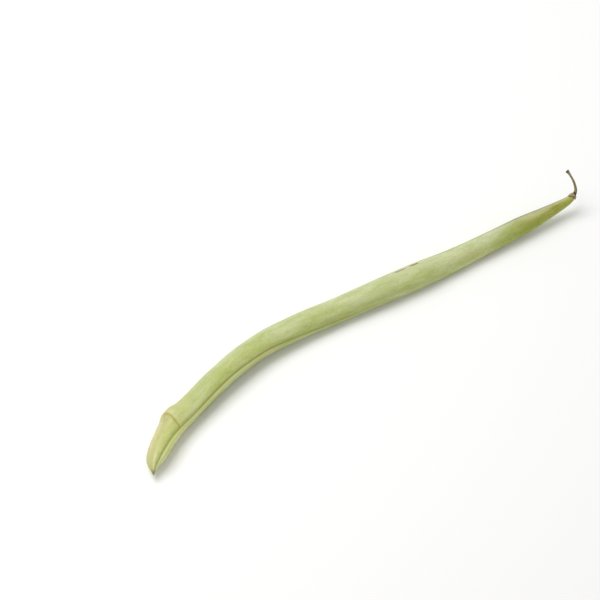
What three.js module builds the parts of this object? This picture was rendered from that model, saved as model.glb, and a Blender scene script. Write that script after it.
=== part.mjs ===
// A green bean: a long snap bean pod with its calyx and stalk, lying on a surface.
// Millimetres, +Z up. The beak points to -X, the stalk end to +X, and the pod bows towards +Y.
import * as THREE from 'three';

// ---- Pod -------------------------------------------------------------------------------------

// Stations along the pod, from the neck inside the calyx to the point of the beak.
// Each row: x, y and z of the middle line, depth from seam to seam, roll of the front seam in
// degrees above the horizontal, seen from the -Y side.
const POD_STATIONS = [
  [95.75, -0.8, 7.75, 2.0, -50],
  [94.55, -0.65, 6.8, 2.85, -50],
  [91.0, -0.15, 5.75, 3.66, -50],
  [81.9, 1.1, 4.9, 5.4, -50],
  [72.1, 2.6, 4.3, 6.9, -49],
  [58.3, 4.4, 3.85, 7.4, -47],
  [42.5, 6.5, 3.7, 8.3, -42],
  [28.7, 8.7, 4.3, 9.2, -32],
  [13.1, 11.6, 4.45, 9.0, -20],
  [-2.8, 14.8, 3.9, 9.0, -7],
  [-20.4, 18.0, 4.0, 9.4, 7],
  [-36.2, 19.4, 4.5, 9.3, 18],
  [-52.1, 17.9, 4.6, 9.3, 26],
  [-67.7, 14.8, 4.15, 9.0, 26],
  [-79.2, 12.0, 4.0, 9.2, 29],
  [-85.1, 9.2, 4.1, 8.4, 36],
  [-89.6, 6.6, 4.05, 7.8, 39],
  [-92.9, 4.5, 3.9, 6.3, 38],
  [-94.7, 2.8, 3.7, 3.9, 38],
  [-95.9, 1.1, 3.5, 1.4, 38],
  [-96.5, 0.2, 3.4, 0.5, 38],
];
const POD_THICKNESS_RATIO = 0.9; // flank to flank, as a share of the depth
const POD_STEPS_PER_STATION = 5;

// Seams: a low rib along the front with a groove on each side of it, and a slimmer back rib.
// Their widths are degrees round the section.
const FRONT_RIB_HEIGHT = 0.3;
const FRONT_RIB_HALF_WIDTH = 9.5;
const BACK_RIB_HEIGHT = 0.16;
const BACK_RIB_HALF_WIDTH = 6;
const GROOVE_DEPTH = 0.14;
const GROOVE_HALF_WIDTH = 4.5;
const SEAM_FULL_DEPTH = 7; // pod depth at which the seams reach their full height

// Seeds: faint swellings of both flanks.
const SEED_COUNT = 11;
const SEED_SWELL = 0.12;
const SEED_FIRST = 0.2; // share of the pod's stations passed at the first seed
const SEED_LAST = 0.72;
const SEED_FADE_IN = 0.15; // share of the seed row over which the swellings grow from nothing
const SEED_FADE_OUT = 0.1;

// A shoulder on the back of the upper flank, where the pod kinks into its beak.
const SHOULDER_HEIGHT = 1.2;
const SHOULDER_POSITION = 13.88; // on the stations
const SHOULDER_HALF_LENGTH = 0.36; // in stations
const SHOULDER_ANGLE = 118; // degrees from the front seam
const SHOULDER_HALF_ANGLE = 42;

// Degrees round a section, measured from the front seam; close together at the two seams.
const HALF_SECTION_ANGLES = [0, 5, 9.5, 14, 20, 31, 44, 58, 73, 89, 105, 121, 137, 152, 164, 170, 175, 180];

// ---- Calyx -----------------------------------------------------------------------------------

const JOINT_GAP = 0.25; // clear gap between neighbouring pieces

const CALYX_AXIS = new THREE.Vector3(0.74, 0.04, 0.67).normalize(); // from the neck to the stalk
const CALYX_SIDES = 30;
const CALYX_TOOTH_COUNT = 5;
const CALYX_TOOTH_LENGTH = 0.5;
const CALYX_TOOTH_BLUNTNESS = 0.8; // 1 gives wave-shaped teeth, less gives broader ones

// The cup's section, from its top at the stalk down its outside to the rim, then up its inside to
// the floor over the neck's end. The cup is low and wide, and its rim stands clear of the neck.
// Each row: height along the axis from the neck's end, radius, and the share of a tooth's length
// by which the teeth draw this ring down.
const CALYX_PROFILE = [
  [1.15, 0.62, 0],
  [0.95, 1.05, 0],
  [0.55, 1.36, 0],
  [0.1, 1.5, 0.15],
  [-0.2, 1.68, 1],
  [-0.2, 1.5, 0.85],
  [0, 1.3, 0.1],
  [0.42, 0.95, 0],
];

// ---- Stalk -----------------------------------------------------------------------------------

// Each row: x, y and z of the middle line relative to the stalk's foot, and radius.
const STALK_STATIONS = [
  [0.0, 0.0, 0.0, 0.66],
  [0.37, 0.24, 0.5, 0.57],
  [0.92, 0.75, 1.0, 0.5],
  [1.35, 1.8, 1.95, 0.45],
  [1.62, 2.98, 2.95, 0.42],
  [1.665, 4.28, 3.92, 0.41],
  [1.64, 5.4, 4.65, 0.43],
  [1.62, 6.25, 5.04, 0.55],
  [1.58, 6.7, 5.19, 0.7],
  [1.54, 6.95, 5.26, 0.66],
];
const STALK_STEPS_PER_STATION = 4;
const STALK_SIDES = 14;

// ---- Surfaces --------------------------------------------------------------------------------

const POD_LOOK = { color: 0xbac391, roughness: 0.5, metalness: 0 };
const CALYX_LOOK = { color: 0x8d7c59, roughness: 0.85, metalness: 0 };
const STALK_LOOK = { color: 0x8e8a5e, roughness: 0.75, metalness: 0 };

// ---- Shapes ----------------------------------------------------------------------------------

const UP = new THREE.Vector3(0, 0, 1);
const DIRECTION_STEP = 0.01; // in stations, for the direction of a middle line

// Uniform Catmull-Rom through rows of numbers, with the row before the first and after the last
// mirrored from their neighbours.
function splineThroughRows(rows, position) {
  const last = rows.length - 1;
  const from = Math.min(Math.floor(position), last - 1);
  const u = position - from;
  return rows[from].map((start, column) => {
    const end = rows[from + 1][column];
    const before = from > 0 ? rows[from - 1][column] : 2 * start - end;
    const after = from < last - 1 ? rows[from + 2][column] : 2 * end - start;
    const slopeIn = (end - before) / 2;
    const slopeOut = (after - start) / 2;
    const curve = 2 * start - 2 * end + slopeIn + slopeOut;
    const bend = -3 * start + 3 * end - 2 * slopeIn - slopeOut;
    return ((curve * u + bend) * u + slopeIn) * u + start;
  });
}

function pointOnRows(rows, position) {
  return new THREE.Vector3(...splineThroughRows(rows, position));
}

function directionOnRows(rows, position) {
  const from = Math.max(position - DIRECTION_STEP, 0);
  const to = Math.min(position + DIRECTION_STEP, rows.length - 1);
  return pointOnRows(rows, to).sub(pointOnRows(rows, from)).normalize();
}

function middleOfRing(ring) {
  const sum = new THREE.Vector3();
  ring.forEach((point) => sum.add(point));
  return sum.divideScalar(ring.length);
}

// A closed body through rings that all have the same number of points. Both ends are capped by a
// fan round the middle of the ring.
function loft(rings) {
  const sides = rings[0].length;
  const points = rings.flat();
  const faces = [];
  for (let ring = 0; ring < rings.length - 1; ring += 1) {
    for (let side = 0; side < sides; side += 1) {
      const next = (side + 1) % sides;
      const a = ring * sides + side;
      const b = ring * sides + next;
      faces.push(a, b, b + sides);
      faces.push(a, b + sides, a + sides);
    }
  }
  const firstMiddle = points.push(middleOfRing(rings[0])) - 1;
  const lastMiddle = points.push(middleOfRing(rings[rings.length - 1])) - 1;
  const lastRing = (rings.length - 1) * sides;
  for (let side = 0; side < sides; side += 1) {
    const next = (side + 1) % sides;
    faces.push(firstMiddle, next, side);
    faces.push(lastMiddle, lastRing + side, lastRing + next);
  }
  const geometry = new THREE.BufferGeometry().setFromPoints(points);
  geometry.setIndex(faces);
  geometry.computeVertexNormals();
  return geometry;
}

// Height of a seam's relief at a number of degrees from its crest: a rounded rib between two
// grooves.
function seamRelief(degrees, ribHeight, ribHalfWidth) {
  const grooveMiddle = ribHalfWidth + GROOVE_HALF_WIDTH;
  const rib = ribHeight * Math.exp(-((degrees / ribHalfWidth) ** 4));
  const groove = GROOVE_DEPTH * Math.exp(-(((degrees - grooveMiddle) / GROOVE_HALF_WIDTH) ** 2));
  return rib - groove;
}

// Swelling of a flank over the seeds, as a share of its full height.
function seedSwell(position) {
  const share = position / (POD_STATIONS.length - 1);
  const along = (share - SEED_FIRST) / (SEED_LAST - SEED_FIRST);
  const started = THREE.MathUtils.smoothstep(along, 0, SEED_FADE_IN);
  const unfinished = THREE.MathUtils.smoothstep(1 - along, 0, SEED_FADE_OUT);
  return started * unfinished * Math.cos(2 * Math.PI * SEED_COUNT * along);
}

// Height of the shoulder at a place along the pod and round its section.
function shoulderSwell(position, degrees) {
  const along = (position - SHOULDER_POSITION) / SHOULDER_HALF_LENGTH;
  const round = (degrees - SHOULDER_ANGLE) / SHOULDER_HALF_ANGLE;
  return SHOULDER_HEIGHT * Math.exp(-(along ** 4) - round ** 2);
}

function podRing(position) {
  const [x, y, z, depth, roll] = splineThroughRows(POD_STATIONS, position);
  const middle = new THREE.Vector3(x, y, z);
  const along = directionOnRows(POD_STATIONS, position);
  const towardsNear = new THREE.Vector3().crossVectors(UP, along).normalize();
  const upwards = new THREE.Vector3().crossVectors(along, towardsNear);
  const seamShare = THREE.MathUtils.smoothstep(depth, 0, SEAM_FULL_DEPTH);
  const otherSide = HALF_SECTION_ANGLES.slice(1, -1).reverse().map((degrees) => 360 - degrees);
  return [...HALF_SECTION_ANGLES, ...otherSide].map((degrees) => {
    const angle = THREE.MathUtils.degToRad(degrees);
    const turned = angle + THREE.MathUtils.degToRad(roll);
    const halfDepth = depth / 2;
    const halfThickness = halfDepth * POD_THICKNESS_RATIO + SEED_SWELL * seedSwell(position);
    const round = Math.hypot(Math.cos(angle) / halfDepth, Math.sin(angle) / halfThickness);
    const fromFront = Math.min(degrees, 360 - degrees);
    const relief = seamRelief(fromFront, FRONT_RIB_HEIGHT, FRONT_RIB_HALF_WIDTH)
      + seamRelief(180 - fromFront, BACK_RIB_HEIGHT, BACK_RIB_HALF_WIDTH);
    const radius = 1 / round + seamShare * relief + shoulderSwell(position, degrees);
    const point = middle.clone();
    point.addScaledVector(towardsNear, radius * Math.cos(turned));
    point.addScaledVector(upwards, radius * Math.sin(turned));
    point.z = Math.max(point.z, 0); // the spots it rests on are flat
    return point;
  });
}

function podGeometry() {
  const steps = (POD_STATIONS.length - 1) * POD_STEPS_PER_STATION;
  const rings = [];
  for (let step = 0; step <= steps; step += 1) {
    rings.push(podRing(step / POD_STEPS_PER_STATION));
  }
  return loft(rings);
}

function calyxGeometry() {
  const neckEnd = pointOnRows(POD_STATIONS, 0);
  const sideways = new THREE.Vector3().crossVectors(UP, CALYX_AXIS).normalize();
  const across = new THREE.Vector3().crossVectors(CALYX_AXIS, sideways);
  const rings = CALYX_PROFILE.map(([height, radius, toothPull]) => {
    const ring = [];
    for (let side = 0; side < CALYX_SIDES; side += 1) {
      const angle = (2 * Math.PI * side) / CALYX_SIDES;
      const wave = 0.5 + 0.5 * Math.cos(CALYX_TOOTH_COUNT * angle);
      const drawnDown = toothPull * CALYX_TOOTH_LENGTH * wave ** CALYX_TOOTH_BLUNTNESS;
      const point = neckEnd.clone();
      point.addScaledVector(CALYX_AXIS, height - drawnDown);
      point.addScaledVector(sideways, radius * Math.cos(angle));
      point.addScaledVector(across, -radius * Math.sin(angle));
      ring.push(point);
    }
    return ring;
  });
  return loft(rings);
}

function stalkGeometry() {
  const [calyxTop] = CALYX_PROFILE[0];
  const foot = pointOnRows(POD_STATIONS, 0).addScaledVector(CALYX_AXIS, calyxTop + JOINT_GAP);
  const rings = [];
  const steps = (STALK_STATIONS.length - 1) * STALK_STEPS_PER_STATION;
  for (let step = 0; step <= steps; step += 1) {
    const position = step / STALK_STEPS_PER_STATION;
    const [x, y, z, radius] = splineThroughRows(STALK_STATIONS, position);
    const along = step === 0 ? CALYX_AXIS : directionOnRows(STALK_STATIONS, position);
    const sideways = new THREE.Vector3(1, 0, 0).cross(along).normalize();
    const across = new THREE.Vector3().crossVectors(along, sideways);
    const middle = foot.clone().add(new THREE.Vector3(x, y, z));
    const ring = [];
    for (let side = 0; side < STALK_SIDES; side += 1) {
      const angle = (2 * Math.PI * side) / STALK_SIDES;
      const point = middle.clone();
      point.addScaledVector(sideways, radius * Math.cos(angle));
      point.addScaledVector(across, radius * Math.sin(angle));
      ring.push(point);
    }
    rings.push(ring);
  }
  return loft(rings);
}

function piece(name, geometry, look) {
  const mesh = new THREE.Mesh(geometry, new THREE.MeshStandardMaterial(look));
  mesh.name = name;
  return mesh;
}

const bean = new THREE.Group();
bean.add(piece('pod', podGeometry(), POD_LOOK));
bean.add(piece('calyx', calyxGeometry(), CALYX_LOOK));
bean.add(piece('stalk', stalkGeometry(), STALK_LOOK));

// The origin is the middle of the box's underside.
const box = new THREE.Box3().setFromObject(bean, true);
bean.position.set(-(box.min.x + box.max.x) / 2, -(box.min.y + box.max.y) / 2, -box.min.z);

export default bean;
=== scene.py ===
# %% [markdown]
# # A green bean
#
# This lesson dresses a plain model of one long snap bean: a fleshy pod, the dry cup of its calyx
# and its thin hooked stalk. The plain model gives sizes and places. Here each piece is made again
# with far more points, and gets a skin that looks like the real plant.
#
# Everything is in metres, +Z is up, the beak of the pod points to -X and its stalk to +X.

# %% Load the plain model
import math

import bpy
import bmesh
import numpy as np
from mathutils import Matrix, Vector


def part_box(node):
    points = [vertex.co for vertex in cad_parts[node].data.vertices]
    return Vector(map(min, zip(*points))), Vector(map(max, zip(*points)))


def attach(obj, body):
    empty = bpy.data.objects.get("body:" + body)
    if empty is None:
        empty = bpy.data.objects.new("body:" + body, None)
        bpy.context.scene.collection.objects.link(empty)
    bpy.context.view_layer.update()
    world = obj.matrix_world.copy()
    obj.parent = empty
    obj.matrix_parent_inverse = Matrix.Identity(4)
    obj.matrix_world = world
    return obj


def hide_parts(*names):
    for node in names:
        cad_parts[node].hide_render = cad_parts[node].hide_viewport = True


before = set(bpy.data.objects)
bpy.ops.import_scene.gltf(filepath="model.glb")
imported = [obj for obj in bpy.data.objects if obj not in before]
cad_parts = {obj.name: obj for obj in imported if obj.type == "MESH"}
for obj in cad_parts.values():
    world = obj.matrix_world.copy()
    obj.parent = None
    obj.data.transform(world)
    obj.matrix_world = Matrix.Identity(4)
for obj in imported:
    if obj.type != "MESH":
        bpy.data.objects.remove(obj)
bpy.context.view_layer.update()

MM = 0.001

# %% [markdown]
# ## Two small tools for nodes
#
# A node tree is a drawing of a sum. Placing its nodes one by one takes many lines that look
# alike, so two small classes write them. `Wire` stands for what comes out of a node: writing
# `a * 2 + b` with wires adds the Math nodes for it.

# %% Wires
def adds(operation, swapped=False):
    """A method that adds a Math node. It is swapped if the wire stands after the sign."""
    def method(wire, other):
        first, second = (other, wire) if swapped else (wire, other)
        return wire.bench.math(operation, first, second)
    return method


class Wire:
    """What comes out of a node. Sums with it add Math nodes to the same tree."""

    def __init__(self, bench, socket):
        self.bench = bench
        self.socket = socket

    def math(self, operation, *others):
        return self.bench.math(operation, self, *others)

    __add__, __radd__ = adds("ADD"), adds("ADD", swapped=True)
    __sub__, __rsub__ = adds("SUBTRACT"), adds("SUBTRACT", swapped=True)
    __mul__, __rmul__ = adds("MULTIPLY"), adds("MULTIPLY", swapped=True)
    __truediv__, __rtruediv__ = adds("DIVIDE"), adds("DIVIDE", swapped=True)
    __pow__ = adds("POWER")


print("signs that work on a wire: + - * / **")

# %% [markdown]
# `Bench` is the tree itself. It adds a node from its type, its settings and the values or wires
# of its sockets. Its other methods are the few nodes that this lesson needs again and again.

# %% Benches
class Bench:
    """A node tree under construction."""

    def __init__(self, tree):
        self.tree = tree

    def node(self, kind, settings=None, sockets=None, output=0):
        """Adds a node. Settings go in first, since they decide which sockets there are."""
        node = self.tree.nodes.new(kind)
        for name, value in (settings or {}).items():
            if name == "stops":
                set_stops(node.color_ramp, value)
            else:
                setattr(node, name, value)
        for key, value in (sockets or {}).items():
            if isinstance(value, Wire):
                self.tree.links.new(value.socket, node.inputs[key])
            else:
                node.inputs[key].default_value = value
        return Wire(self, node.outputs[output]) if node.outputs else node

    def math(self, operation, *values):
        return self.node("ShaderNodeMath", {"operation": operation}, dict(enumerate(values)))

    def vector(self, operation, *values):
        return self.node("ShaderNodeVectorMath", {"operation": operation}, dict(enumerate(values)))

    def scaled(self, vector, factor):
        return self.node("ShaderNodeVectorMath", {"operation": "SCALE"},
                         {0: vector, "Scale": factor})

    def joined(self, x, y, z):
        return self.node("ShaderNodeCombineXYZ", None, {"X": x, "Y": y, "Z": z})

    def part(self, vector, axis):
        """One number of a vector: 0 for x, 1 for y, 2 for z."""
        return self.node("ShaderNodeSeparateXYZ", None, {"Vector": vector}, axis)

    def attribute(self, label, output):
        """A value that the mesh carries, in a shader. Output 1 is a vector and 2 a number."""
        return self.node("ShaderNodeAttribute", {"attribute_name": label}, None, output)

    def smooth(self, value, low, high):
        """0 below low, 1 above high, and a soft step between them."""
        return self.node("ShaderNodeMapRange", {"interpolation_type": "SMOOTHSTEP"},
                         {"Value": value, "From Min": low, "From Max": high})

    def hump(self, value, middle, half_width):
        """1 at the middle, falling away on both sides like a bell."""
        away = (value - middle) / half_width
        return (away * away * -1).math("EXPONENT")

    def noise(self, vector, detail=2.0, roughness=0.5):
        """Soft random lumps, 0 to 1 and about 0.5 in the middle. The vector sets their size."""
        return self.node("ShaderNodeTexNoise", {"noise_dimensions": "3D"},
                         {"Vector": vector, "Scale": 1.0, "Detail": detail, "Roughness": roughness})

    def dots(self, vector, edge, middle):
        """Small round dots, one in each cell: 0 past the edge, 1 nearer than the middle."""
        away = self.node("ShaderNodeTexVoronoi", {"feature": "F1"},
                         {"Vector": vector, "Scale": 1.0})
        return self.smooth(away, edge, middle)

    def mix(self, factor, first, second, blend="MIX"):
        """A colour between two others."""
        return self.node("ShaderNodeMix", {"data_type": "RGBA", "blend_type": blend},
                         {0: factor, 6: first, 7: second}, 2)

    def say(self, name):
        """Prints how many nodes there are so far."""
        print(f"{name}: {len(self.tree.nodes)} nodes")


def set_stops(ramp, stops):
    """Gives a colour ramp its stops, each a place and a colour."""
    while len(ramp.elements) > 1:
        ramp.elements.remove(ramp.elements[-1])
    ramp.elements[0].position, ramp.elements[0].color = stops[0]
    for place, colour in stops[1:]:
        ramp.elements.new(place).color = colour


print("a bench can add:", ", ".join(name for name in vars(Bench) if name[0] != "_"))

# %% [markdown]
# ## Colours as the eye names them
#
# Paint charts and pictures give colours as 0 to 255 steps of screen brightness. Light adds up on
# another scale, so each colour is turned into amounts of light before a shader gets it.

# %% Colours
def paint(red, green, blue):
    """Screen colour, 0 to 255, as amounts of light with full opacity."""
    def light(step):
        share = step / 255
        return share / 12.92 if share <= 0.04045 else ((share + 0.055) / 1.055) ** 2.4
    return (light(red), light(green), light(blue), 1.0)


print("pale bean green as light:", [round(v, 3) for v in paint(184, 192, 128)])

# %% [markdown]
# ## The camera
#
# A long lens from above and from the left of the stalk, so that the pod runs across the frame
# from its beak at the lower left to its stalk at the upper right. A long lens keeps the far end
# nearly as large as the near end.

# %% Camera
CAMERA_AZIMUTH = math.radians(-38)
CAMERA_ELEVATION = math.radians(55)
CAMERA_DISTANCE = 0.8212
CAMERA_AIM = Vector((-0.01126, 0.01811, 0))
LENS, SENSOR_WIDTH = 135, 36  # mm
NEAREST_SEEN = 0.01


def put(name, data, place=(0, 0, 0), back=None):
    """Puts a new object into the scene. A camera or lamp turns its back to a direction."""
    thing = bpy.data.objects.new(name, data)
    thing.location = place
    if back is not None:
        thing.rotation_euler = back.to_track_quat("Z", "Y").to_euler()
    bpy.context.scene.collection.objects.link(thing)
    return thing


camera_data = bpy.data.cameras.new("camera")
camera_data.lens = LENS
camera_data.sensor_width = SENSOR_WIDTH
camera_data.clip_start = NEAREST_SEEN
towards_camera = Vector((
    math.sin(CAMERA_AZIMUTH) * math.cos(CAMERA_ELEVATION),
    -math.cos(CAMERA_AZIMUTH) * math.cos(CAMERA_ELEVATION),
    math.sin(CAMERA_ELEVATION),
))
camera = put("camera", camera_data, CAMERA_AIM + CAMERA_DISTANCE * towards_camera, towards_camera)
bpy.context.scene.camera = camera
print("camera at, mm:", [round(1000 * v) for v in camera.location])

# %% [markdown]
# ## The line through the middle of the pod
#
# A bean pod is a tube that bends, swells and twists a little on its way from neck to beak. The
# plain model describes it by a few stations, each with a place, the depth from seam to seam and
# the roll of the front seam. The same stations are used here, so the fine pod lies exactly where
# the plain one does.
#
# Blender's own curves would bend nicely too, but the plain model is built on a Catmull-Rom curve,
# which goes through every station. Working it out in a few lines gives exactly the same line.

# %% Stations of the pod
# x, y and z in mm, depth in mm, roll of the front seam in degrees
POD_STATIONS = np.array([
    [95.75, -0.8, 7.75, 2.0, -50],
    [94.55, -0.65, 6.8, 2.85, -50],
    [91.0, -0.15, 5.75, 3.66, -50],
    [81.9, 1.1, 4.9, 5.4, -50],
    [72.1, 2.6, 4.3, 6.9, -49],
    [58.3, 4.4, 3.85, 7.4, -47],
    [42.5, 6.5, 3.7, 8.3, -42],
    [28.7, 8.7, 4.3, 9.2, -32],
    [13.1, 11.6, 4.45, 9.0, -20],
    [-2.8, 14.8, 3.9, 9.0, -7],
    [-20.4, 18.0, 4.0, 9.4, 7],
    [-36.2, 19.4, 4.5, 9.3, 18],
    [-52.1, 17.9, 4.6, 9.3, 26],
    [-67.7, 14.8, 4.15, 9.0, 26],
    [-79.2, 12.0, 4.0, 9.2, 29],
    [-85.1, 9.2, 4.1, 8.4, 36],
    [-89.6, 6.6, 4.05, 7.8, 39],
    [-92.9, 4.5, 3.9, 6.3, 38],
    [-94.7, 2.8, 3.7, 3.9, 38],
    [-95.9, 1.1, 3.5, 1.4, 38],
    [-96.5, 0.2, 3.4, 0.5, 38],
])
MODEL_SHIFT = np.array([-1.1738, -10.7529, 0.0])  # from the stations' origin to the model's, mm
print("stations:", len(POD_STATIONS), "deepest, mm:", POD_STATIONS[:, 3].max())

# %% The smooth curve through the stations
POD_ROWS = 640
FINE_STEPS = 8000  # for measuring the curve
END_CROWDING = 0.035  # how much closer the rows are at both ends
PROBE = 0.01  # in stations, for the direction of a line


def curve_through(rows, places):
    """The Catmull-Rom curve through the rows, read at places counted in rows."""
    last = len(rows) - 1
    first = np.minimum(np.floor(places).astype(int), last - 1)
    part = (places - first)[:, None]
    start, end = rows[first], rows[first + 1]
    before = np.where((first > 0)[:, None], rows[np.maximum(first - 1, 0)], 2 * start - end)
    after = np.where((first < last - 1)[:, None],
                     rows[np.minimum(first + 2, last)], 2 * end - start)
    slope_in, slope_out = (end - before) / 2, (after - start) / 2
    curve = 2 * start - 2 * end + slope_in + slope_out
    bend = -3 * start + 3 * end - 2 * slope_in - slope_out
    return ((curve * part + bend) * part + slope_in) * part + start


def length_along(points):
    """How far along the line each point is."""
    steps = np.linalg.norm(np.diff(points, axis=0), axis=1)
    return np.concatenate([[0], np.cumsum(steps)])


def unit(vectors):
    return vectors / np.linalg.norm(vectors, axis=1)[:, None]


def direction_along(rows, places):
    """The direction of the curve through the rows, at places counted in rows."""
    ahead = curve_through(rows, np.minimum(places + PROBE, len(rows) - 1))[:, :3]
    behind = curve_through(rows, np.maximum(places - PROBE, 0))[:, :3]
    return unit(ahead - behind)


fine = np.linspace(0, len(POD_STATIONS) - 1, FINE_STEPS)
fine_length = length_along(curve_through(POD_STATIONS, fine)[:, :3])
POD_LENGTH = fine_length[-1]
share = np.linspace(0, 1, POD_ROWS)
even_length = POD_LENGTH * (share - END_CROWDING * np.sin(2 * np.pi * share))
place = np.interp(even_length, fine_length, fine)
print("pod length along its curve, mm:", round(POD_LENGTH, 1))

# %% [markdown]
# Both ends must be closed. A few more rows at each end shrink to a single point: nearly flat at
# the neck, where the calyx hides it, and a small dome at the tip of the beak. The front seam also
# wanders a little on its way to the beak, so a small turn is added to its roll.

# %% Rows of the pod with closed ends
# each row of a cap: share of the end row's size, step past it in mm
NECK_CAP = [(0.0, -0.30), (0.45, -0.27), (0.8, -0.16)]
BEAK_CAP = [(0.85, 0.10), (0.5, 0.2), (0.0, 0.25)]
POD_CAPS = (NECK_CAP, BEAK_CAP)
SEAM_TURN_PLACES = [88, 105, 160, 172, 183, 190, 198]  # mm along the pod
SEAM_TURN_DEGREES = [0, -6.5, -7, -12.5, -9, -6, -4]


def with_caps(values, caps, step=None):
    """Repeats the end rows for the caps, moved by the caps' steps if step is given."""
    step = np.zeros_like(values) if step is None else step
    first = [values[0] + step[0] * move for _, move in caps[0]]
    last = [values[-1] + step[-1] * move for _, move in caps[1]]
    return np.array([*first, *values, *last])


def sizes_with_caps(count, caps):
    """1 for each row, and less for the rows of the caps."""
    return np.array([s for s, _ in caps[0]] + [1.0] * count + [s for s, _ in caps[1]])


stations = curve_through(POD_STATIONS, place)
along = direction_along(POD_STATIONS, place)
middle = with_caps(stations[:, :3] + MODEL_SHIFT, POD_CAPS, along)
pod_arc = with_caps(even_length, POD_CAPS)
depth = with_caps(stations[:, 3], POD_CAPS) * sizes_with_caps(POD_ROWS, POD_CAPS)
seam_turn = np.interp(pod_arc, SEAM_TURN_PLACES, SEAM_TURN_DEGREES)
roll = np.radians(with_caps(stations[:, 4], POD_CAPS) + seam_turn)
place = with_caps(place, POD_CAPS)
along = with_caps(along, POD_CAPS)
near = unit(np.cross([0.0, 0.0, 1.0], along))
upwards = np.cross(along, near)
print("rows with caps:", len(middle))

# %% [markdown]
# What changes along the pod is worked out here as well, one number for each row: how much the
# seeds swell the flanks, how deep and wide the groove beside the front seam is, and where a
# shoulder stands out on the back, where the pod kinks into its beak. Near the beak the groove is
# a broad furrow, and towards the neck it fades.

# %% What changes along the pod
SEED_COUNT = 11
SEED_FIRST, SEED_LAST = 0.2, 0.72  # shares of the stations
SEED_FADE_IN, SEED_FADE_OUT = 0.15, 0.1
SHOULDER_POSITION, SHOULDER_HALF_LENGTH = 13.88, 0.36  # on the stations
GROOVE_PLACES = [0, 20, 60, 100, 140, 165, 190, 197, 199]  # mm along the pod
GROOVE_SHARES = [0.3, 0.4, 0.5, 0.9, 1.0, 1.4, 1.8, 1.3, 0.3]  # of the groove's depth
FURROW_PLACES, FURROW_SPREADS = [150, 186], [1.0, 1.9]  # mm along, share of the groove's width


def smooth_step(value, low, high):
    part = np.clip((value - low) / (high - low), 0, 1)
    return part * part * (3 - 2 * part)


seed_part = (place / (len(POD_STATIONS) - 1) - SEED_FIRST) / (SEED_LAST - SEED_FIRST)
seed_wave = (smooth_step(seed_part, 0, SEED_FADE_IN)
             * smooth_step(1 - seed_part, 0, SEED_FADE_OUT)
             * np.cos(2 * np.pi * SEED_COUNT * seed_part))
groove_share = np.interp(pod_arc, GROOVE_PLACES, GROOVE_SHARES)
groove_spread = np.interp(pod_arc, FURROW_PLACES, FURROW_SPREADS)
shoulder = np.exp(-((place - SHOULDER_POSITION) / SHOULDER_HALF_LENGTH) ** 4)
print("shoulder is highest at, mm along:", round(pod_arc[np.argmax(shoulder)], 1))

# %% [markdown]
# All of it goes into a line object: a mesh with only points and edges, whose points carry the
# numbers as named attributes. Geometry Nodes can read those. A curve object could carry them as
# well, but a mesh line keeps every point just where it is put.

# %% The pod's line
def line_object(name, points, **values):
    """A line of points in metres. Each further value becomes a named attribute of the points."""
    mesh = bpy.data.meshes.new(name)
    mesh.from_pydata([tuple(p) for p in points], [(i, i + 1) for i in range(len(points) - 1)], [])
    for label, numbers in values.items():
        numbers = np.asarray(numbers, float)
        kind, field = ("FLOAT_VECTOR", "vector") if numbers.ndim == 2 else ("FLOAT", "value")
        mesh.attributes.new(label, kind, "POINT").data.foreach_set(field, numbers.ravel())
    return put(name, mesh)


pod = line_object("pod_skin", middle * MM, near=near, upwards=upwards, depth=depth * MM, roll=roll,
                  arc=pod_arc, seed_wave=seed_wave, groove_share=groove_share,
                  groove_spread=groove_spread, shoulder=shoulder)
print("pod line:", len(pod.data.vertices), "points,", len(pod.data.attributes), "attributes")

# %% [markdown]
# ## A sheet rolled round a line
#
# All three pieces are made in one way with Geometry Nodes. A flat grid has a row for each point
# of a line, and as many columns as the body has sides. Every grid point asks the line for the
# values of its row, works out its angle from its column, and moves to its place on the body.
# The last column lands on the first one, and Merge by Distance closes the seam and both ends.
#
# Curve to Mesh could sweep one section along the line with fewer nodes. It can't change the
# section on the way, though, and a bean's ribs, grooves and seeds come and go along the pod.

# %% Rolling a sheet
TURN = 2 * math.pi
MERGE_DISTANCE = 1e-6


def geometry_bench(name, sizes):
    """A new geometry tree: its bench, its named inputs as wires, and the inputs' ids."""
    kinds = {"Rows": "NodeSocketInt", "Sides": "NodeSocketInt",
             **dict.fromkeys(sizes, "NodeSocketFloat"), "Material": "NodeSocketMaterial"}
    tree = bpy.data.node_groups.new(name, "GeometryNodeTree")
    for side in ("INPUT", "OUTPUT"):
        tree.interface.new_socket("Geometry", in_out=side, socket_type="NodeSocketGeometry")
    ids = {}
    for label, kind in kinds.items():
        ids[label] = tree.interface.new_socket(label, in_out="INPUT", socket_type=kind).identifier
    bench = Bench(tree)
    entry = tree.nodes.new("NodeGroupInput")
    return bench, {socket.name: Wire(bench, socket) for socket in entry.outputs if socket.name}, ids


def rolled_sheet(bench, given):
    """The flat grid, the share of a turn of its points, and a reader of the line at their row."""
    columns = given["Sides"] + 1
    grid = bench.node("GeometryNodeMeshGrid", None,
                      {"Vertices X": given["Rows"], "Vertices Y": columns})
    index = bench.node("GeometryNodeInputIndex")
    row = ((index + 0.5) / columns).math("FLOOR")
    turned = (index - row * columns) / given["Sides"]

    def read(label=None, kind="FLOAT"):
        """A named attribute of the line's point, or its place if no name is given."""
        if label is None:
            kind, value = "FLOAT_VECTOR", bench.node("GeometryNodeInputPosition")
        else:
            value = bench.node("GeometryNodeInputNamedAttribute", {"data_type": kind},
                               {"Name": label})
        return bench.node("GeometryNodeSampleIndex", {"data_type": kind, "domain": "POINT"},
                          {"Geometry": given["Geometry"], "Value": value, "Index": row})

    return grid, turned, read


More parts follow.
